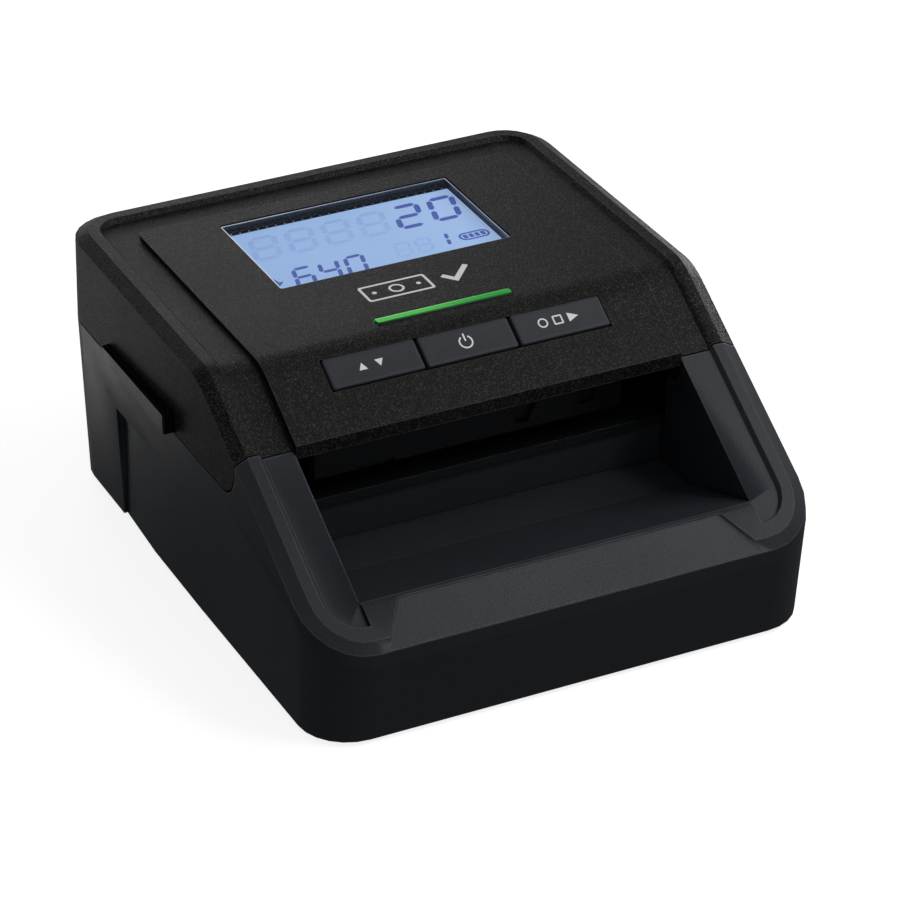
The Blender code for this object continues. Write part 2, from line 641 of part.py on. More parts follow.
def make_lower_shell():
    shell = store("lower_shell", outer_body(), SHELL_GREY)
    cut(shell, lid_zone(GAP))
    hollow = store("shell_hollow", inner_core(), cutter=True)
    cut(hollow, tray_block())
    mod = shell.modifiers.new("hollow", "BOOLEAN")
    mod.operation = "DIFFERENCE"
    mod.solver = "EXACT"
    mod.object = hollow
    cut(shell, tray_hollow())
    join(shell, ledge())
    cut(shell, scoop())
    # the tray's rear wall stops under the feed deck
    cut(shell, box((-TRAY_HALF - 6, -20.3, NOTE_Z - 2 - GAP), (TRAY_HALF + 6, -10, 50)))
    # rear edge under the hinge, exit slot, sockets
    cut(shell, box((-70, HINGE_Y - 1.9, HINGE_Z - KNUCKLE_R - GAP), (70, 80, 60)))
    cut(shell, extruded("Y", 60, 75, rounded(-42.5, 42.5, 30.2, 36.2, 1.5, 3)))
    cut(shell, extruded("Y", 60, 75, circle(-38, 13.5, 4.2, 16)))
    cut(shell, extruded("Y", 60, 75, rounded(-24.6, -15.4, 9.2, 14.8, 0.8, 2)))
    hinge_barrels(shell, False)
    for s in (-1, 1):
        # wedge-shaped grip recess in each side
        wedge = [(s * 60, 39.5), (s * 55.6, 39.5), (s * 57.6, 4.0), (s * 60, 4.0)]
        cut(shell, extruded("Z", -5, 27.8, wedge))
        # brackets for the feed deck's ears
        x0, x1 = sorted((s * 47.6, s * 56.0))
        join(shell, box((x0, 50.5, 24.0), (x1, 55.5, NOTE_Z - 2 - GAP)))
        for y in SCREW_Y:
            x0, x1 = sorted((s * SCREW_X, s * 55.8))
            join(shell, rod("Z", (s * SCREW_X, y, 9.0), 3.4, 10.2, 14), box((x0, y - 1.2, 4.4), (x1, y + 1.2, 13.6)))
            cut(shell, rod("Z", (s * SCREW_X, y, 8.0), 1.2, 12.4, 10))
    return shell


def make_base():
    base = store("base_plate", extruded("Z", FOOT_H, FOOT_H + 2.4, rounded(-53.4, 53.4, -61.2, 65.2, 7.0, 4)),
                 SHELL_GREY)
    for sx, side in ((-1, "left"), (1, "right")):
        for y, place in zip(SCREW_Y, ("front", "rear")):
            x = sx * SCREW_X
            cut(base, rod("Z", (x, y, FOOT_H), 2.9, 2.6, 16), rod("Z", (x, y, FOOT_H), 1.3, 10, 12))
            screw = turned(f"base_screw_{place}_{side}", STEEL, (x, y, FOOT_H), "Z",
                           [(0, 9.0), (0.85, 8.2), (0.85, 1.1), (2.5, 1.1), (2.5, 0.5), (2.1, 0.2), (0, 0.2)], 14)
            shade(screw)
            fx, fy = sx * 42.0, (-50.0 if place == "front" else 50.0)
            cut(base, rod("Z", (fx, fy, FOOT_H), 5.4, 1.4, 20))
            foot = turned(f"foot_{place}_{side}", RUBBER, (fx, fy, 0), "Z",
                          [(0, 1.6), (5.0, 1.6), (5.0, 0.5), (4.5, 0.0), (0, 0.0)], 20)
            shade(foot)
    for x in (-36.0, 36.0):
        for y in (20.0, 54.0):
            join(base, rod("Z", (x, y, 5.3), 2.2, 4.2, 12))
    # vent slots under the motor
    for i in range(5):
        x = 22.0 + 5.0 * i
        cut(base, extruded("Z", -2, 8, rounded(x - 1.0, x + 1.0, -8, 8, 0.9, 2)))
    board = store("main_board", box((-46, 15, 7.7), (46, 62, 9.3)), BOARD)
    join(board, box((-6, 30, 9.0), (8, 44, 11.2)), box((18, 26, 9.0), (27, 33, 10.8)),
         box((-30, 22, 9.0), (-22, 30, 13.5)))
    inlet = store("dc_inlet", box((-43, 53.4, 9.6), (-33, 65.6, 17.4)), FRAME_BLACK)
    join(inlet, rod("Y", (-38, 66.5, 13.5), 3.8, 3.2, 16))
    cut(inlet, rod("Y", (-38, 64.3, 13.5), 3.0, 10, 16))
    join(inlet, rod("Y", (-38, 62.8, 13.5), 1.0, 8.0, 8))
    port = store("usb_port", box((-24.2, 56.4, 9.6), (-15.8, 68.0, 14.4)), STEEL)
    cut(port, box((-23.6, 59.4, 10.9), (-16.4, 72, 13.8)))
    join(port, box((-22.6, 58.4, 12.0), (-17.4, 67.0, 12.7)))


# ---------------------------------------------------------------- feed deck and drive
def make_deck():
    outline = [(-DECK_HALF, NOTE_Z), (-DECK_HALF, 17.0), (-DECK_HALF + 2, 17.0), (-DECK_HALF + 2, NOTE_Z - 2),
               (DECK_HALF - 2, NOTE_Z - 2), (DECK_HALF - 2, 17.0), (DECK_HALF, 17.0), (DECK_HALF, NOTE_Z)]
    deck = store("feed_deck", extruded("Y", -16.6, 60.0, outline), SMOKED)
    join(deck, box((-TRAY_HALF + GAP, -19.8, NOTE_Z - 2), (TRAY_HALF - GAP, -16.2, NOTE_Z)))
    for s in (-1, 1):
        x0, x1 = sorted((s * (DECK_HALF - 1), s * 53.0))
        join(deck, box((x0, 50.5, NOTE_Z - 2), (x1, 55.5, NOTE_Z)))
    for y in (FRONT_SHAFT_Y, REAR_SHAFT_Y):
        cut(deck, rod("X", (0, y, SHAFT_Z), 4.0 + GAP, 120, 20))
        for s in (-1, 1):
            x0, x1 = sorted((s * (ROLLER_X - 5.6), s * (ROLLER_X + 5.6)))
            cut(deck, box((x0, y - 6.6, NOTE_Z - 4), (x1, y + 6.6, NOTE_Z + 2)))
    cut(deck, box((-30.3, 7.7, NOTE_Z - 4), (30.3, 16.3, NOTE_Z + 2)))
    cut(deck, box((-7.3, 22.7, NOTE_Z - 4), (7.3, 27.3, NOTE_Z + 2)))
    pin_y, pin_z = pinion_centre()
    cut(deck, rod("X", (DECK_HALF, pin_y, pin_z), 2.6, 8, 16))
    store("lower_sensor_window", box((-30, 8, NOTE_Z - 1.6), (30, 16, NOTE_Z - 0.2)), SMOKED)
    store("lower_sensor_board", box((-32, 7, NOTE_Z - 6.2), (32, 17, NOTE_Z - 4.6)), BOARD)
    head = store("magnetic_head", box((-7, 23, NOTE_Z - 7), (7, 27, NOTE_Z + 0.2)), STEEL)
    edge_bevel(head, 0.4)


def pinion_centre():
    distance = GEAR_MODULE * (GEAR_TEETH + PINION_TEETH) / 2
    return (FRONT_SHAFT_Y + distance * math.cos(MESH_ANGLE), SHAFT_Z + distance * math.sin(MESH_ANGLE))


def gear_outline(cu, cv, teeth, phase):
    """Straight-flanked teeth with a tooth centred on the phase angle."""
    pitch_r = GEAR_MODULE * teeth / 2
    root = pitch_r - 1.25 * GEAR_MODULE
    tip = pitch_r + 0.8 * GEAR_MODULE
    step = 2 * math.pi / teeth
    points = []
    for i in range(teeth):
        middle = phase + i * step
        for radius, share in ((root, -0.31), (tip, -0.11), (tip, 0.11), (root, 0.31)):
            a = middle + share * step
            points.append((cu + radius * math.cos(a), cv + radius * math.sin(a)))
    return points


def make_drive():
    for y, place in ((FRONT_SHAFT_Y, "front"), (REAR_SHAFT_Y, "rear")):
        shaft = store(f"{place}_drive_shaft", rod("X", (0, y, SHAFT_Z), SHAFT_R, 107, 16), STEEL, (0, y, SHAFT_Z))
        shade(shaft)
        for s, side in ((-1, "left"), (1, "right")):
            x = s * ROLLER_X
            roller = store(f"drive_roller_{place}_{side}",
                           extruded("X", x - ROLLER_W / 2, x + ROLLER_W / 2, circle(y, SHAFT_Z, ROLLER_R, 28),
                                    circle(y, SHAFT_Z, SHAFT_R + GAP, 16)), RUBBER, (0, y, SHAFT_Z))
            edge_bevel(roller, 0.5, 1, 60)
            shade(roller)
            x = s * (DECK_HALF - 1)
            bush = store(f"shaft_bush_{place}_{side}",
                         extruded("X", x - 1.9, x + 1.9, circle(y, SHAFT_Z, 4.0, 20),
                                  circle(y, SHAFT_Z, SHAFT_R + GAP, 16)), BRASS)
            shade(bush)
        pulley = store(f"belt_pulley_{place}",
                       extruded("X", -53.0, -49.0, circle(y, SHAFT_Z, 6.0, 24),
                                circle(y, SHAFT_Z, SHAFT_R + GAP, 16)), WHITE_GEAR, (0, y, SHAFT_Z))
        shade(pulley)

    def loop(radius):
        points = []
        for centre, start in ((REAR_SHAFT_Y, -90), (FRONT_SHAFT_Y, 90)):
            for i in range(13):
                a = math.radians(start + 15 * i)
                points.append((centre + radius * math.cos(a), SHAFT_Z + radius * math.sin(a)))
        return points

    store("drive_belt", extruded("X", -52.6, -49.4, loop(7.3), loop(6.4)), RUBBER)
    bore = circle(FRONT_SHAFT_Y, SHAFT_Z, SHAFT_R + GAP, 16)
    store("front_drive_gear",
          extruded("X", *GEAR_X, gear_outline(FRONT_SHAFT_Y, SHAFT_Z, GEAR_TEETH, MESH_ANGLE), bore),
          WHITE_GEAR, (0, FRONT_SHAFT_Y, SHAFT_Z))
    y, z = pinion_centre()
    phase = MESH_ANGLE + math.pi + math.pi / PINION_TEETH
    store("motor_pinion", extruded("X", *GEAR_X, gear_outline(y, z, PINION_TEETH, phase), circle(y, z, 1.3, 10)),
          BRASS, (0, y, z))
    motor = store("drive_motor", rod("X", (34.4, y, z), 8.0, 19.6, 28), STEEL)
    join(motor, rod("X", (49.0, y, z), 1.0, 12, 10))
    join(motor, rod("X", (23.6, y, z), 3.0, 4, 14))


make_lid()
make_display()
make_keys()
make_release_tabs()
make_upper_guide()
make_lower_shell()
make_base()
make_deck()
make_drive()
hinge = store("hinge_pin", rod("X", (0, HINGE_Y, HINGE_Z), PIN_R, 101, 12), STEEL, (0, HINGE_Y, HINGE_Z))
shade(hinge)
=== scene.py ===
"""Looks of the counter-top counterfeit bill detector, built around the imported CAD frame.

Places are in metres in the frame's own axes: +X right, -Y towards the operator, +Z up.
The sizes in the mesh helpers and in the layouts of the print are in mm.
"""
import json
import math
import bmesh
import bpy
from mathutils import Matrix, Vector


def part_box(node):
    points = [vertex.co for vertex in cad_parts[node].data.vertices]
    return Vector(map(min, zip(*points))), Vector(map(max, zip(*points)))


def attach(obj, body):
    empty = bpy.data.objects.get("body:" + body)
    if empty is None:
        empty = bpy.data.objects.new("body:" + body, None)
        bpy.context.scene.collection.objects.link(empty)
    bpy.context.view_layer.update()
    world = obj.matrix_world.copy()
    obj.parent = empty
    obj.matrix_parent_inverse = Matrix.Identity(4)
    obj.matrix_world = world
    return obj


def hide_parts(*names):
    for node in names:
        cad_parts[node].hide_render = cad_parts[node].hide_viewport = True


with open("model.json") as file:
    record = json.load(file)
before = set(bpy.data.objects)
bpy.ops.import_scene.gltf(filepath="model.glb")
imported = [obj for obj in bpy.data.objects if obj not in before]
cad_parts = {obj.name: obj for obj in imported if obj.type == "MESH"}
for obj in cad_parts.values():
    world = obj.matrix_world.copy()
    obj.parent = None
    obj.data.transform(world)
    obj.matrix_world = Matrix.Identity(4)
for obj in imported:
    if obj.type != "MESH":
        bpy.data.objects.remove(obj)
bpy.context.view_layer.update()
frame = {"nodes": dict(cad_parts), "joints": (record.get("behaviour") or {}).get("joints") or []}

MM = 0.001
NODES = frame["nodes"]
JOINTS = {j["name"]: j for j in frame["joints"]}


# ---------------------------------------------------------------- node helpers
def new_material(name):
    mat = bpy.data.materials.new(name)
    mat.use_nodes = True
    tree = mat.node_tree
    shader = tree.nodes["Principled BSDF"]
    return mat, tree, shader


def node(tree, kind, **settings):
    made = tree.nodes.new(kind)
    for key, value in settings.items():
        setattr(made, key, value)
    return made


def set_inputs(made, **values):
    """Sets sockets by name, where an underscore stands for a space."""
    for key, value in values.items():
        made.inputs[key.replace("_", " ")].default_value = value


def object_point(tree):
    return node(tree, "ShaderNodeTexCoord").outputs["Object"]


def noise(tree, vector, scale, detail=2.0, rough=0.5):
    made = node(tree, "ShaderNodeTexNoise")
    set_inputs(made, Scale=scale, Detail=detail, Roughness=rough)
    tree.links.new(vector, made.inputs["Vector"])
    return made.outputs["Fac"]


def remap(tree, value, low, high, to_low, to_high):
    made = node(tree, "ShaderNodeMapRange")
    set_inputs(made, From_Min=low, From_Max=high, To_Min=to_low, To_Max=to_high)
    tree.links.new(value, made.inputs["Value"])
    return made.outputs["Result"]


def spread_noise(tree, value, to_low, to_high):
    """Stretches the middle of a noise, where nearly all of it lies, over the given range."""
    return remap(tree, value, 0.3, 0.7, to_low, to_high)


def maths(tree, operation, a, b):
    made = node(tree, "ShaderNodeMath", operation=operation)
    for socket, value in zip(made.inputs, (a, b)):
        if isinstance(value, (int, float)):
            socket.default_value = value
        else:
            tree.links.new(value, socket)
    return made.outputs[0]


def blend_colour(tree, factor, a, b):
    made = node(tree, "ShaderNodeMix", data_type="RGBA")
    tree.links.new(factor, made.inputs["Factor"])
    for socket, value in ((made.inputs["A"], a), (made.inputs["B"], b)):
        if isinstance(value, tuple):
            socket.default_value = (*value, 1.0)
        else:
            tree.links.new(value, socket)
    return made.outputs["Result"]


def rounded_normal(tree, radius):
    made = node(tree, "ShaderNodeBevel", samples=4)
    made.inputs["Radius"].default_value = radius * MM
    return made.outputs[0]


# ---------------------------------------------------------------- materials
CELLS_PER_GRAIN = 1.2
CELL_HEIGHT = 0.3          # share of the cells in the bump, on top of the fine noise
MOTTLING = 45.0            # waves of the slow mottling per metre
GRAIN_SHARE = 0.55         # weight of the fine noise and of the cells in the colour
PAINTED_SHADE_REACH = 0.9         # mm over which painted shade darkens an inner corner
PAINTED_CORNER_SHADE = 0.15        # colour of the painted shade in a deep corner, as a share of the dark colour
EDGE_HIGHLIGHT_REACH = 1.6            # width of the painted edge highlight, in edge radii


def grain_tone(tree, fine, cells, slow, speckle, sparse, patch):
    """0 to 1 between the dark and the light colour of a grained plastic."""
    reach = 0.5 * (1.05 - speckle)
    sharp = remap(tree, fine, 0.5 - reach, 0.5 + reach, 0, 1)
    sand = remap(tree, cells, 0.3, 0.8, 0, 1)
    tone = maths(tree, "ADD", maths(tree, "MULTIPLY", sharp, GRAIN_SHARE),
                 maths(tree, "MULTIPLY", sand, GRAIN_SHARE))
    tone = maths(tree, "POWER", remap(tree, tone, 0.0, 1.0, 0.0, 1.0), sparse)
    return maths(tree, "ADD", tone, spread_noise(tree, slow, -patch, patch))


def painted_corner_shade_and_edge_highlight(tree, colour, slow, dark, light, edge, edge_highlight):
    """Paints shade into the inner corners of a plastic and a highlight along its outer edges."""
    # painted shade: the colour darkens in inner corners, where the ambient occlusion finds faces
    # close by
    corner = node(tree, "ShaderNodeAmbientOcclusion", samples=4)
    corner.inputs["Distance"].default_value = PAINTED_SHADE_REACH * MM
    open_to = corner.outputs["AO"]
    shade = tuple(PAINTED_CORNER_SHADE * c for c in dark)
    colour = blend_colour(tree, remap(tree, open_to, 0.35, 0.95, 0, 1), shade, colour)
    # painted highlight: the colour lightens along outer edges, where the rounded normal leaves
    # the flat one, but not in corners
    bent = rounded_normal(tree, edge * EDGE_HIGHLIGHT_REACH)
    flat = node(tree, "ShaderNodeNewGeometry").outputs["Normal"]
    facing = node(tree, "ShaderNodeVectorMath", operation="DOT_PRODUCT")
    tree.links.new(bent, facing.inputs[0])
    tree.links.new(flat, facing.inputs[1])
    edge_highlight_share = remap(tree, facing.outputs["Value"], 0.998, 0.955, 0.0, edge_highlight)
    edge_highlight_share = maths(tree, "MULTIPLY", edge_highlight_share, remap(tree, slow, 0.35, 0.65, 0.5, 1.0))
    edge_highlight_share = maths(tree, "MULTIPLY", edge_highlight_share, remap(tree, open_to, 0.80, 0.95, 0, 1))
    return blend_colour(tree, edge_highlight_share, colour, tuple(min(0.6, 2.5 * c + 0.20) for c in light))


def plastic(name, dark, light, rough, grain, depth, specular=0.5, speckle=0.5, edge=0.2,
            edge_highlight=0.0, patch=0.12, sparse=1.0):
    """Moulded plastic with an eroded grain, slow mottling and softly rounded edges.

    grain is the size of the grain, depth that of its bump and edge the radius of the edges,
    in mm. speckle sharpens the grain's colour and sparse thins out the light grains. patch
    is the strength of the mottling and edge_highlight that of the painted highlight on the
    outer edges, which comes with painted shade in the inner corners.
    """
    mat, tree, shader = new_material(name)
    at = object_point(tree)
    fine = noise(tree, at, 1 / (grain * MM), 2.0, 0.6)
    cells = node(tree, "ShaderNodeTexVoronoi")
    cells.inputs["Scale"].default_value = CELLS_PER_GRAIN / (grain * MM)
    tree.links.new(at, cells.inputs["Vector"])
    slow = noise(tree, at, MOTTLING, 3.0, 0.55)
    height = maths(tree, "MULTIPLY_ADD", cells.outputs["Distance"], CELL_HEIGHT)
    tree.links.new(fine, height.node.inputs[2])
    tone = grain_tone(tree, fine, cells.outputs["Color"], slow, speckle, sparse, patch)
    colour = blend_colour(tree, tone, dark, light)
    # painted shade in the inner corners and a painted highlight along the outer edges
    if edge_highlight:
        colour = painted_corner_shade_and_edge_highlight(tree, colour, slow, dark, light, edge, edge_highlight)
    tree.links.new(colour, shader.inputs["Base Color"])
    gloss = maths(tree, "ADD", spread_noise(tree, fine, rough - 0.05, rough + 0.07),
                  spread_noise(tree, slow, -0.03, 0.03))
    tree.links.new(gloss, shader.inputs["Roughness"])
    bump = node(tree, "ShaderNodeBump")
    set_inputs(bump, Strength=1.0, Distance=depth * MM)
    tree.links.new(height, bump.inputs["Height"])
    if edge:
        tree.links.new(rounded_normal(tree, edge), bump.inputs["Normal"])
    tree.links.new(bump.outputs[0], shader.inputs["Normal"])
    shader.inputs["Specular IOR Level"].default_value = specular
    return mat


def metal(name, dark, light, rough):
    """Drawn or turned metal with fine streaks and a little tarnish."""
    mat, tree, shader = new_material(name)
    at = object_point(tree)
    stretch = node(tree, "ShaderNodeMapping")
    stretch.inputs["Scale"].default_value = (0.12, 1.0, 1.0)
    tree.links.new(at, stretch.inputs["Vector"])
    streak_width = 0.25 * MM
    streak = noise(tree, stretch.outputs[0], 1 / streak_width, 3.0, 0.6)
    slow = noise(tree, at, 120.0, 2.0)
    tree.links.new(blend_colour(tree, slow, dark, light), shader.inputs["Base Color"])
    gloss = spread_noise(tree, streak, rough - 0.06, rough + 0.1)
    tree.links.new(gloss, shader.inputs["Roughness"])
    bump = node(tree, "ShaderNodeBump")
    bump.inputs["Distance"].default_value = 0.008 * MM
    tree.links.new(streak, bump.inputs["Height"])
    tree.links.new(bump.outputs[0], shader.inputs["Normal"])
    shader.inputs["Metallic"].default_value = 1.0
    return mat


def circuit(name):
    """Solder mask with darker copper runs under it and bright pads."""
    mat, tree, shader = new_material(name)
    at = object_point(tree)
    runs = node(tree, "ShaderNodeTexBrick")
    set_inputs(runs, Scale=170.0, Color1=(0.008, 0.10, 0.035, 1), Color2=(0.012, 0.14, 0.05, 1),
               Mortar=(0.02, 0.22, 0.08, 1), Mortar_Size=0.03)
    tree.links.new(at, runs.inputs["Vector"])
    pads = node(tree, "ShaderNodeTexVoronoi")
    pads.inputs["Scale"].default_value = 320.0
    tree.links.new(at, pads.inputs["Vector"])
    pad = remap(tree, pads.outputs["Distance"], 0.16, 0.12, 0, 1)
    solder = (0.55, 0.52, 0.42)
    tree.links.new(blend_colour(tree, pad, runs.outputs["Color"], solder),
                   shader.inputs["Base Color"])
    tree.links.new(spread_noise(tree, noise(tree, at, 300.0), 0.28, 0.42),
                   shader.inputs["Roughness"])
    return mat


def glow(name, dark, light, strength, scale, rough=0.25, along=None):
    """Lit plastic: its own colour and an even glow that varies slowly.

    along is an axis with the places, in metres, where the light fades in and is full.
    """
    mat, tree, shader = new_material(name)
    at = object_point(tree)
    level = spread_noise(tree, noise(tree, at, scale, 2.0), 0.0, 0.35)
    if along:
        axis, low, high = along
        split = node(tree, "ShaderNodeSeparateXYZ")
        tree.links.new(at, split.inputs[0])
        level = maths(tree, "ADD", level, remap(tree, split.outputs[axis], low, high, 0.0, 0.65))
    colour = blend_colour(tree, level, dark, light)
    tree.links.new(colour, shader.inputs["Base Color"])
    tree.links.new(colour, shader.inputs["Emission Color"])
    shader.inputs["Emission Strength"].default_value = strength
    tree.links.new(spread_noise(tree, noise(tree, at, 2600.0), rough - 0.02, rough + 0.04),
                   shader.inputs["Roughness"])
    return mat


def clear(name):
    """Clear window plastic, polished and a little uneven."""
    mat, tree, shader = new_material(name)
    at = object_point(tree)
    tree.links.new(spread_noise(tree, noise(tree, at, 400.0), 0.015, 0.04),
                   shader.inputs["Roughness"])
    set_inputs(shader, Base_Color=(0.97, 0.98, 1.0, 1.0), Transmission_Weight=1.0, IOR=1.15)
    return mat


# edge_highlight paints a highlight on the outer edges, and shade in the inner corners, of these
# plastics
LID = plastic("grained_black_plastic", (0.0004, 0.0004, 0.0004), (0.1160, 0.1060, 0.0960),
              rough=0.43, grain=0.33, depth=0.17, specular=0.34, speckle=0.82, edge=0.14,
              edge_highlight=0.45, patch=0.04, sparse=3.7)
SHELL = plastic("satin_charcoal_plastic", (0.0400, 0.0460, 0.0560), (0.0540, 0.0620, 0.0740),
                rough=0.40, grain=0.36, depth=0.034, specular=0.46, edge=0.32, edge_highlight=0.55)
KEY = plastic("key_plastic", (0.066, 0.072, 0.084), (0.084, 0.091, 0.104),
              rough=0.45, grain=0.18, depth=0.010, specular=0.45, speckle=0.35, edge=0.0)
TAB = plastic("tab_plastic", (0.004, 0.0042, 0.0046), (0.009, 0.0095, 0.0105),
              rough=0.38, grain=0.22, depth=0.012, specular=0.36, edge=0.15, edge_highlight=0.15)
INNER = plastic("inner_black_plastic", (0.011, 0.0115, 0.012), (0.019, 0.020, 0.021),
                rough=0.44, grain=0.25, depth=0.008, specular=0.3)
SMOKED = plastic("smoked_plastic", (0.015, 0.017, 0.019), (0.024, 0.027, 0.030),
                 rough=0.33, grain=0.5, depth=0.002)
RUBBER = plastic("black_rubber", (0.010, 0.010, 0.010), (0.022, 0.021, 0.020),
                 rough=0.75, grain=0.35, depth=0.05, specular=0.25, edge=0.25)
ACETAL = plastic("grey_acetal", (0.20, 0.20, 0.195), (0.27, 0.27, 0.262),
                 rough=0.38, grain=0.30, depth=0.006)
STEEL = metal("drawn_steel", (0.42, 0.42, 0.43), (0.62, 0.62, 0.63), 0.28)
BRASS = metal("turned_brass", (0.50, 0.36, 0.14), (0.72, 0.54, 0.24), 0.30)
BOARD = circuit("circuit_board")

# the finish of each CAD node, by how its name begins; INNER is the finish of all others
FINISHES = (
    (LID, ("lid_cover",)),
    (SHELL, ("lower_shell", "base_plate")),
    (KEY, ("arrow_key", "power_key", "function_key")),
    (TAB, ("release_tab",)),
    (BOARD, ("display_board", "keypad_board", "lower_sensor_board", "main_board")),
    (STEEL, ("base_screw", "guide_screw", "tab_spring", "hinge_pin", "drive_motor", "usb_port",
             "magnetic_head", "pinch_shaft", "front_drive_shaft", "rear_drive_shaft")),
    (BRASS, ("shaft_bush", "motor_pinion")),
    (ACETAL, ("pinch_roller", "belt_pulley")),
    (RUBBER, ("drive_roller", "foot_", "drive_belt")),
    (SMOKED, ("feed_deck", "upper_guide", "lower_sensor_window", "upper_sensor_window")),
)


def finish_of(name):
    for finish, beginnings in FINISHES:
        if name.startswith(beginnings):
            return finish
    return INNER


for node_name, obj in NODES.items():
    obj.data.materials.clear()
    obj.data.materials.append(finish_of(node_name))


# ---------------------------------------------------------------- mesh helpers
def piece(name, bm, mat, body, smooth=35, *stands_for):
    """A finished piece that rides on a body; smooth is its sharpest soft edge in degrees."""
    mesh = bpy.data.meshes.new(name)
    bm.to_mesh(mesh)
    bm.free()
    mesh.materials.append(mat)
    obj = bpy.data.objects.new(name, mesh)
    bpy.context.scene.collection.objects.link(obj)
    if smooth:
        mesh.shade_smooth()
        mesh.set_sharp_from_angle(angle=math.radians(smooth))
    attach(obj, body)
    if stands_for:
        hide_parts(*stands_for)
    return obj


def refined(node_name, body, mat, smooth=19):
    """The CAD node's own shape as a welded mesh, so that its curved faces shade smoothly."""
    bm = bmesh.new()
    bm.from_mesh(NODES[node_name].data)
    bmesh.ops.remove_doubles(bm, verts=bm.verts, dist=0.002 * MM)
    bmesh.ops.dissolve_limit(bm, angle_limit=math.radians(0.4), verts=bm.verts, edges=bm.edges)
    obj = piece(f"{node_name}_surface", bm, mat, body, smooth, node_name)
    even = obj.modifiers.new("even_normals", "WEIGHTED_NORMAL")
    even.mode = "FACE_AREA"
    even.weight = 90
    even.keep_sharp = True


def rounded_plan(x0, x1, y0, y1, radius, steps=5):
    points = []
    for cx, cy, start in ((x1 - radius, y0 + radius, -90), (x1 - radius, y1 - radius, 0),
                          (x0 + radius, y1 - radius, 90), (x0 + radius, y0 + radius, 180)):
        for i in range(steps + 1):
            a = math.radians(start + 90 * i / steps)
            points.append((cx + radius * math.cos(a), cy + radius * math.sin(a)))
    return points


def centred_plan(half_x, half_y, radius, steps=5):
    return rounded_plan(-half_x, half_x, -half_y, half_y, radius, steps)


def arc(cx, cy, radius, start, end, steps):
    angles = [math.radians(start + (end - start) * i / steps) for i in range(steps + 1)]
    return [(cx + radius * math.cos(a), cy + radius * math.sin(a)) for a in angles]


def circle(cx, cy, radius, steps):
    """Arc that stops one step short of its start, as an outline needs it."""
    return arc(cx, cy, radius, 0, 360 - 360 / (steps + 1), steps)


def pillow(half_x, half_y, bottom, top, corner, fillet, dish=0.0, steps=5):
    """Block with rounded plan corners and a filleted, slightly dished top."""
    smallest_corner = 0.08
    bm = bmesh.new()
    rings = [(0.0, bottom), (0.0, top - fillet)]
    for i in range(1, steps + 1):
        a = math.pi / 2 * i / steps
        rings.append((fillet * (1 - math.cos(a)), top - fillet + fillet * math.sin(a)))
    rings += [(fillet + 0.5, top), (fillet + half_y * 0.35, top - dish * 0.6),
              (half_y * 0.8, top - dish)]
    loops = []
    for inset, z in rings:
        plan = centred_plan(half_x - inset, half_y - inset, max(corner - inset, smallest_corner))
        loops.append([bm.verts.new((x, y, z)) for x, y in plan])
    for low, high in zip(loops, loops[1:]):
        for i in range(len(low)):
            j = (i + 1) % len(low)
            bm.faces.new((low[i], low[j], high[j], high[i]))
    bm.faces.new(loops[-1])
    bm.faces.new(loops[0][::-1])
    return bm


def plate(bm, outline, z0, z1):
    """Adds a flat closed plate with the given outline."""
    low = [bm.verts.new((x, y, z0)) for x, y in outline]
    high = [bm.verts.new((x, y, z1)) for x, y in outline]
    bm.faces.new(high)
    bm.faces.new(low[::-1])
    for i in range(len(low)):
        j = (i + 1) % len(low)
        bm.faces.new((low[i], low[j], high[j], high[i]))


def ring_plate(bm, outer, inner, z0, z1, closed=True):
    """Adds a flat band between two outlines with as many points each."""
    count = len(outer)
    rows = []
    for outline, z in ((outer, z0), (outer, z1), (inner, z1), (inner, z0)):
        rows.append([bm.verts.new((x, y, z)) for x, y in outline])
    last = count if closed else count - 1
    for a, b in zip(rows, rows[1:] + rows[:1]):
        for i in range(last):
            j = (i + 1) % count
            bm.faces.new((a[i], a[j], b[j], b[i]))
    if not closed:
        bm.faces.new([row[0] for row in rows])
        bm.faces.new([row[-1] for row in rows][::-1])


def set_in(bm, matrix):
    """Turns a mesh in mm into one in metres, at the place that the matrix gives."""
    bmesh.ops.recalc_face_normals(bm, faces=bm.faces)
    bmesh.ops.transform(bm, matrix=matrix @ Matrix.Scale(MM, 4), verts=bm.verts)
    return bm


def half_sizes(low, high):
    """Half the width and depth of a box, in mm."""
    return (high.x - low.x) / 2 / MM, (high.y - low.y) / 2 / MM


# ---------------------------------------------------------------- camera and light
CAMERA_PLACE = (-0.34264, -0.70275, 0.47508)
CAMERA_PITCH, CAMERA_YAW = 59.936, -26.264
CAMERA_LENS = 168.72

camera_data = bpy.data.cameras.new("camera")
camera_data.sensor_width = 36.0
camera_data.lens = CAMERA_LENS
camera_data.clip_start = 0.01
camera = bpy.data.objects.new("camera", camera_data)
camera.location = CAMERA_PLACE
camera.rotation_euler = (math.radians(CAMERA_PITCH), 0.0, math.radians(CAMERA_YAW))
bpy.context.scene.collection.objects.link(camera)
bpy.context.scene.camera = camera


def softbox(name, place, aim, size, energy, tint=(1, 1, 1), spread=180):
    data = bpy.data.lights.new(name, "AREA")
    data.shape = "RECTANGLE"
    data.size, data.size_y = size
    data.energy = energy
    data.color = tint
    data.spread = math.radians(spread)
    lamp = bpy.data.objects.new(name, data)
    lamp.location = place
    towards = Vector(aim) - Vector(place)
    lamp.rotation_euler = towards.to_track_quat("-Z", "Y").to_euler()
    lamp.visible_camera = False
    bpy.context.scene.collection.objects.link(lamp)


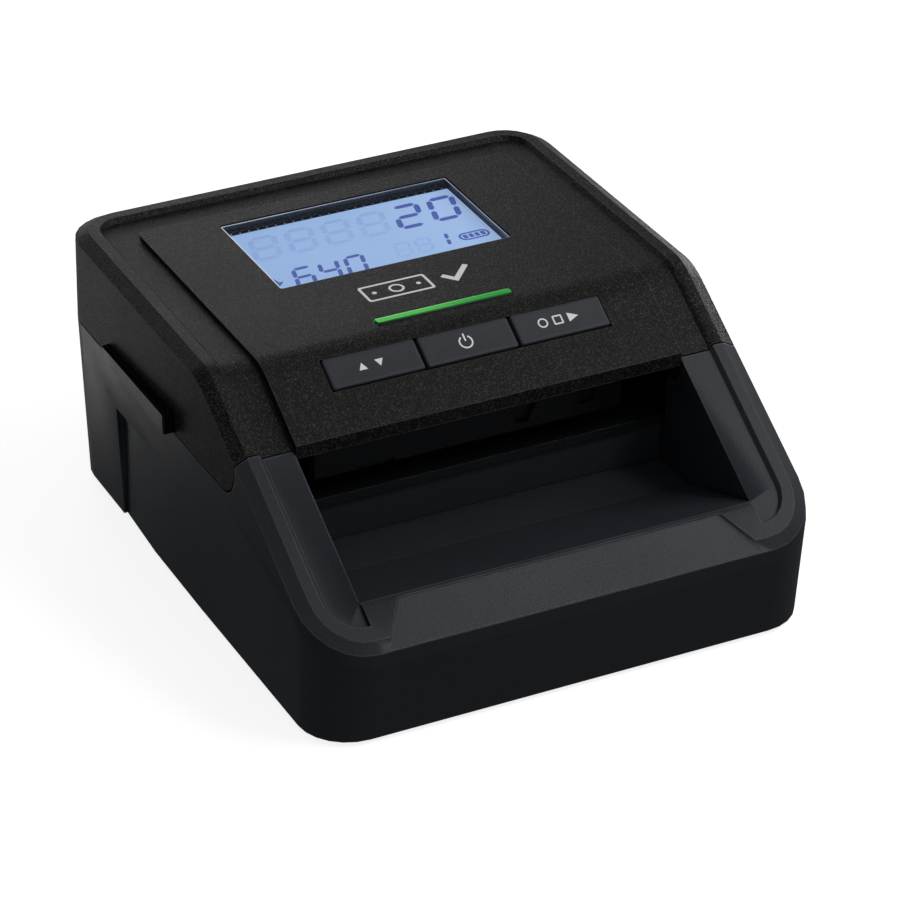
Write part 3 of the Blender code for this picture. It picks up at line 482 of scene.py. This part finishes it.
DISPLAY_REAR = (-0.02, 0.03, 0.05)
softbox("back_softbox", (0.11, 0.50, 0.20), DISPLAY_REAR, (0.26, 0.16), 0.185)
softbox("back_low_softbox", (0.05, 0.50, 0.09), DISPLAY_REAR, (0.32, 0.14), 0.12)
softbox("back_right_softbox", (0.74, 0.52, 0.02), (0.05, 0.0, 0.03), (0.20, 0.06), 1.4)
softbox("left_floor_bounce", (-0.136, 0.275, -0.070), (-0.059, 0.090, 0.060), (0.08, 0.08),
        0.00120, spread=30)
softbox("right_softbox", (0.34, -0.05, 0.33), (0.03, 0.0, 0.04), (0.20, 0.24), 0.28,
        (0.95, 0.97, 1.0))
softbox("top_softbox", (-0.2, -0.45, 1.25), (0.0, 0.0, 0.03), (0.9, 0.9), 0.6,
        (0.98, 0.99, 1.0))
softbox("arm_softbox", (0.46, -0.54, 0.96), (0.0, -0.05, 0.03), (0.30, 0.30), 1.6,
        (0.96, 0.98, 1.0))
softbox("front_softbox", (-0.02, -0.60, 0.14), (0.01, -0.02, 0.03), (0.30, 0.16), 0.06,
        (0.92, 0.96, 1.0))

world = bpy.data.worlds.new("studio")
bpy.context.scene.world = world
world.use_nodes = True
set_inputs(world.node_tree.nodes["Background"], Color=(0.96, 0.98, 1.0, 1.0), Strength=0.068)
bpy.context.scene.view_settings.view_transform = "Standard"


def make_floor():
    bm = bmesh.new()
    bmesh.ops.create_grid(bm, x_segments=8, y_segments=8, size=6.0)
    mesh = bpy.data.meshes.new("floor")
    bm.to_mesh(mesh)
    bm.free()
    floor = bpy.data.objects.new("floor", mesh)
    bpy.context.scene.collection.objects.link(floor)
    mat, tree, shader = new_material("pale_floor")
    at = object_point(tree)
    tone = blend_colour(tree, noise(tree, at, 3.0), (0.88, 0.88, 0.88), (0.91, 0.91, 0.91))
    tree.links.new(tone, shader.inputs["Base Color"])
    set_inputs(shader, Emission_Color=(1.0, 1.0, 1.0, 1.0), Emission_Strength=0.85,
               Roughness=0.9, Specular_IOR_Level=0.1)
    mesh.materials.append(mat)
    floor.visible_glossy = False
    floor.visible_diffuse = False
    floor.visible_shadow = False


make_floor()

# ---------------------------------------------------------------- shells
refined("lid_cover", "lid", LID)
refined("lower_shell", "housing", SHELL)

# ---------------------------------------------------------------- keys and their symbols
# light grey print, which also glows as painted light
INK_PAINTED_GLOW = glow("light_grey_ink_painted_glow", (0.72, 0.73, 0.74), (0.82, 0.83, 0.84), 0.45, 900.0, 0.5)
KEY_RISE = 0.5             # how far a key stands out of the panel
INK_HALF = 0.02            # half the thickness of the print
KEY_SINK = 4.2             # how far a key's cap reaches into the panel
SKIRT = 1.2                # how far the skirt under a cap sticks out


def key_matrix(name, joint):
    """Frame of a key: origin on the panel's surface at the key's middle, Z out of the panel."""
    out = -Vector(JOINTS[joint]["axis"]).normalized()
    right = Vector((1, 0, 0))
    up = out.cross(right)
    corners = [v.co for v in NODES[name].data.vertices]
    out_most = max(co.dot(out) for co in corners)
    span_x = [co.dot(right) for co in corners]
    span_up = [co.dot(up) for co in corners if co.dot(out) > out_most - 2 * MM]
    middle_x = (min(span_x) + max(span_x)) / 2
    middle_up = (min(span_up) + max(span_up)) / 2
    place = right * middle_x + up * middle_up + out * (out_most - KEY_RISE * MM)
    turn = Matrix((right, up, out)).transposed().to_4x4()
    half = ((max(span_x) - min(span_x)) / 2 / MM, (max(span_up) - min(span_up)) / 2 / MM)
    return Matrix.Translation(place) @ turn, half


def key_symbols(kind):
    """Printed symbols, a hair above the key."""
    bm = bmesh.new()
    low, high = KEY_RISE - INK_HALF, KEY_RISE + INK_HALF
    if kind == "arrows":
        plate(bm, [(-3.5, -0.75), (-1.6, -0.75), (-2.55, 0.95)], low, high)
        plate(bm, [(0.45, 0.95), (1.4, -0.75), (2.35, 0.95)], low, high)
    elif kind == "power":
        ring_plate(bm, arc(-0.4, 0.1, 1.6, 122, 418, 26), arc(-0.4, 0.1, 1.25, 122, 418, 26),
                   low, high, False)
        plate(bm, [(-0.58, 0.3), (-0.22, 0.3), (-0.22, 2.1), (-0.58, 2.1)], low, high)
    else:
        # circle, square and triangle, as a plain sign for stepping through functions
        ring_plate(bm, circle(-4.0, 0.2, 1.15, 23), circle(-4.0, 0.2, 0.82, 23), low, high)
        ring_plate(bm, rounded_plan(-1.6, 0.6, -0.9, 1.3, 0.2, 2),
                   rounded_plan(-1.27, 0.27, -0.57, 0.97, 0.1, 2), low, high)
        plate(bm, [(1.9, -0.9), (4.3, 0.2), (1.9, 1.3)], low, high)
    return bm


for key_name, joint_name, kind in (("arrow_key", "arrow_key_press", "arrows"),
                                   ("power_key", "power_key_press", "power"),
                                   ("function_key", "function_key_press", "shapes")):
    matrix, (half_x, half_y) = key_matrix(key_name, joint_name)
    cap = pillow(half_x, half_y, -KEY_SINK, KEY_RISE, 0.55, 0.4, dish=0.06)
    plate(cap, centred_plan(half_x, half_y + SKIRT, 0.4, 3), -KEY_SINK - SKIRT, -KEY_SINK + 0.1)
    piece(f"{key_name}_cap", set_in(cap, matrix), KEY, key_name, 50, key_name)
    piece(f"{key_name}_print", set_in(key_symbols(kind), matrix), INK_PAINTED_GLOW, key_name, 0)

# ---------------------------------------------------------------- display
# ends of each segment in a digit's box, as shares of its width and height
SEGMENTS = {"top": (0.0, 1.0, 1.0, 1.0), "middle": (0.0, 0.5, 1.0, 0.5),
            "bottom": (0.0, 0.0, 1.0, 0.0), "upper_left": (0.0, 0.5, 0.0, 1.0),
            "lower_left": (0.0, 0.0, 0.0, 0.5), "upper_right": (1.0, 0.5, 1.0, 1.0),
            "lower_right": (1.0, 0.0, 1.0, 0.5)}
DIGITS = {
    "0": ("top", "bottom", "upper_left", "lower_left", "upper_right", "lower_right"),
    "1": ("upper_right", "lower_right"),
    "2": ("top", "upper_right", "middle", "lower_left", "bottom"),
    "4": ("upper_left", "upper_right", "middle", "lower_right"),
    "6": ("top", "upper_left", "middle", "lower_left", "lower_right", "bottom"),
    "8": tuple(SEGMENTS),
}
SLANT = 0.24
SEGMENT_GAP = 0.20         # gap at each end of a segment, in strokes
# width, height and stroke of a digit
LARGE = (6.8, 10.9, 1.35)
MEDIUM = (4.9, 8.6, 1.0)
SMALL = (4.0, 6.4, 0.9)
SMALL_IDLE = (4.0, 6.4, 0.75)
# text, x, y and pitch of each row of digits, from the middle of the glass
LIT_ROWS = (("20", 9.4, 2.2, 8.6, LARGE), ("1", 12.6, -9.2, 0.0, SMALL),
            ("640", -21.6, -12.4, 6.1, MEDIUM))
IDLE_ROWS = (("8888", -25.0, 2.2, 8.6, LARGE), ("88", 3.4, -9.4, 5.0, SMALL_IDLE))
LIT_THICK, IDLE_THICK, BEZEL_THICK = 0.05, 0.03, 0.04
LCD_GLOW = 0.86
LCD_FADE = ("X", -0.028, 0.028)


def digit(bm, text, x, y, size, thick):
    """One seven-segment digit; x, y is its lower left corner and its top leans right."""
    width, height, stroke = size
    half = stroke / 2
    gap = stroke * SEGMENT_GAP
    for name in DIGITS[text]:
        u0, v0, u1, v1 = SEGMENTS[name]
        ax, ay = half + u0 * (width - stroke), half + v0 * (height - stroke)
        bx, by = half + u1 * (width - stroke), half + v1 * (height - stroke)
        length = math.hypot(bx - ax, by - ay)
        dx, dy = (bx - ax) / length, (by - ay) / length
        ax, ay = ax + dx * gap, ay + dy * gap
        bx, by = bx - dx * gap, by - dy * gap
        tx, ty = dx * half, dy * half
        nx, ny = -ty, tx
        corners = [(ax, ay), (ax + tx + nx, ay + ty + ny), (bx - tx + nx, by - ty + ny),
                   (bx, by), (bx - tx - nx, by - ty - ny), (ax + tx - nx, ay + ty - ny)]
        plate(bm, [(x + px + SLANT * py, y + py) for px, py in corners], 0.0, thick)


def digit_rows(bm, rows, thick):
    for text, x, y, pitch, size in rows:
        for i, figure in enumerate(text):
            digit(bm, figure, x + pitch * i, y, size, thick)


def active_signs():
    """Digits, an arrow at the left and a battery-like cell at the right, all dark."""
    bm = bmesh.new()
    digit_rows(bm, LIT_ROWS, LIT_THICK)
    plate(bm, [(-25.6, -6.0), (-24.6, -6.0), (-24.1, -8.3), (-23.1, -8.3), (-25.6, -11.0),
               (-26.6, -8.3), (-25.3, -8.3)], 0.0, LIT_THICK)
    ring_plate(bm, rounded_plan(19.4, 26.6, -8.4, -5.0, 1.6),
               rounded_plan(19.9, 26.1, -7.9, -5.5, 1.15), 0.0, LIT_THICK)
    for i in range(4):
        x = 20.4 + 1.4 * i
        plate(bm, rounded_plan(x, x + 1.0, -7.5, -5.9, 0.2, 2), 0.0, LIT_THICK)
    return bm


def make_lcd():
    low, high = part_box("lcd_panel")
    half_x, half_y = half_sizes(low, high)
    on_glass = Matrix.Translation((0.0, (low.y + high.y) / 2, high.z))
    lit = glow("lcd_lit", (0.28, 0.42, 0.67), (0.35, 0.50, 0.76), LCD_GLOW, 30.0, 0.5, LCD_FADE)
    dark = glow("lcd_segment", (0.075, 0.115, 0.36), (0.095, 0.14, 0.42), 0.80, 200.0, 0.5)
    faint = glow("lcd_idle_segment", (0.237, 0.367, 0.62), (0.300, 0.440, 0.700), LCD_GLOW,
                 200.0, 0.5, LCD_FADE)
    cell = pillow(half_x, half_y, (low.z - high.z) / MM, 0.0, 0.3, 0.08)
    piece("lcd_cell", set_in(cell, on_glass), lit, "lid", 50, "lcd_panel")
    piece("lcd_digits", set_in(active_signs(), on_glass), dark, "lid", 0)
    idle = bmesh.new()
    digit_rows(idle, IDLE_ROWS, IDLE_THICK)
    piece("lcd_idle_digits", set_in(idle, on_glass), faint, "lid", 0)

    # printed bezel, a row of fine contact marks at its rear and a line at its right
    bezel = bmesh.new()
    ring_plate(bezel, centred_plan(half_x, half_y, 0.3, 2),
               rounded_plan(-half_x + 0.5, half_x - 0.9, -half_y + 0.5, half_y - 1.3, 0.3, 2),
               0.0, BEZEL_THICK)
    piece("lcd_bezel", set_in(bezel, on_glass), SMOKED, "lid", 0)
    # the contact marks and the line are real marks, drawn in the glowing pale colour of the
    # painted highlight
    marks = bmesh.new()
    mark_count, mark_margin, mark_half = 26, 2.0, 0.16
    for i in range(mark_count):
        x = -half_x + mark_margin + i * (2 * half_x - 2 * mark_margin) / (mark_count - 1)
        plate(marks, rounded_plan(x - mark_half, x + mark_half, half_y - 0.95, half_y - 0.65,
                                  0.1, 2), 0.03, 0.07)
    piece("lcd_contact_marks", set_in(marks, on_glass), PALE_HIGHLIGHT_GLOW, "lid", 0)
    line = bmesh.new()
    line_x0, line_x1 = half_x - 1.55, half_x - 1.43
    line_y0, line_y1 = -half_y + 1, half_y - 2.4
    plate(line, [(line_x0, line_y0), (line_x1, line_y0), (line_x1, line_y1), (line_x0, line_y1)],
          0.0, 0.05)
    piece("lcd_edge_line", set_in(line, on_glass), PALE_HIGHLIGHT_GLOW, "lid", 0)


def make_pane():
    """The clear pane over the display, with a painted highlight along its edges and darkened
    sides.
    """
    low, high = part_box("display_window")
    half_x, half_y = half_sizes(low, high)
    on_pane = Matrix.Translation((0.0, (low.y + high.y) / 2, high.z))
    glass = clear("clear_pane")
    pane = pillow(half_x, half_y, (low.z - high.z) / MM, 0.0, 0.35, 0.12)
    pane.normal_update()
    for face in pane.faces:
        face.material_index = 1 if abs(face.normal.z) < 0.3 else 0
    made = piece("display_pane", set_in(pane, on_pane), glass, "lid", 50, "display_window")
    made.data.materials.append(SMOKED)
    # painted highlight: a pale glowing line along the pane's edges
    edge = bmesh.new()
    line_width = 0.16
    ring_plate(edge, centred_plan(half_x, half_y, 0.35),
               centred_plan(half_x - line_width, half_y - line_width, 0.25), 0.0, 0.05)
    piece("display_pane_painted_highlight", set_in(edge, on_pane), PALE_HIGHLIGHT_GLOW, "lid", 0)


# pale glow, lighter towards the left: a painted highlight on the pane's edges; the LCD's contact
# marks and right-hand line glow in it too
PALE_HIGHLIGHT_GLOW = glow("pale_painted_highlight_glow", (0.22, 0.28, 0.42), (0.86, 0.90, 0.98), 0.62, 150.0, 0.2,
                 ("X", 0.004, -0.028))
make_lcd()
make_pane()


# ---------------------------------------------------------------- status light
def make_status_light():
    """Lit bar, bright on top, with painted shade in deep green on its front and ends."""
    low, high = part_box("status_light_pipe")
    half_x, half_y = half_sizes(low, high)
    top = Matrix.Translation(((low.x + high.x) / 2, (low.y + high.y) / 2, high.z))
    bar = pillow(half_x, half_y, (low.z - high.z) / MM, 0.0, 0.8, 0.42)
    bar.normal_update()
    for face in bar.faces:
        face.material_index = 0 if face.normal.z > 0.93 or face.normal.y > 0.1 else 1
    green = glow("lit_green_pipe", (0.004, 0.27, 0.026), (0.10, 0.56, 0.10), 0.66, 110.0, 0.22,
                 ("X", 0.016, -0.016))
    # deep green: painted shade on the bar's front and ends
    deep = glow("painted_shade_green_pipe", (0.002, 0.030, 0.008), (0.006, 0.10, 0.022), 0.45, 240.0,
                0.22)
    lit_bar = piece("status_light_bar", set_in(bar, top), green, "lid", 60, "status_light_pipe")
    lit_bar.data.materials.append(deep)


make_status_light()


# ---------------------------------------------------------------- generic banknote sign
def make_banknote_sign():
    """A plain printed sign of a banknote and a tick, in front of the display."""
    pane_low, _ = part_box("display_window")
    _, light_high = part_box("status_light_pipe")
    light_stands_out = 0.3
    panel_top = light_high.z - light_stands_out * MM
    middle = (pane_low.y + light_high.y) / 2
    bm = bmesh.new()
    low, high = -0.01, 0.02
    ring_plate(bm, rounded_plan(-13.0, 2.5, -3.4, 3.4, 0.7),
               rounded_plan(-12.4, 1.9, -2.8, 2.8, 0.4), low, high)
    ring_plate(bm, circle(-5.25, 0, 1.75, 23), circle(-5.25, 0, 1.2, 23), low, high)
    for x in (-10.4, -0.1):
        plate(bm, circle(x, 0, 0.55, 11), low, high)
    plate(bm, [(5.2, 0.3), (6.2, 1.2), (7.9, -0.9), (12.0, 3.6), (12.9, 2.8), (7.9, -2.9)],
          low, high)
    # light grey print, which also glows as painted light
    ink = glow("printed_ink_painted_glow", (0.66, 0.67, 0.67), (0.78, 0.79, 0.79), 0.45, 700.0, 0.55)
    place = Matrix.Translation((0.0, middle, panel_top))
    piece("banknote_sign", set_in(bm, place), ink, "lid", 0)


make_banknote_sign()
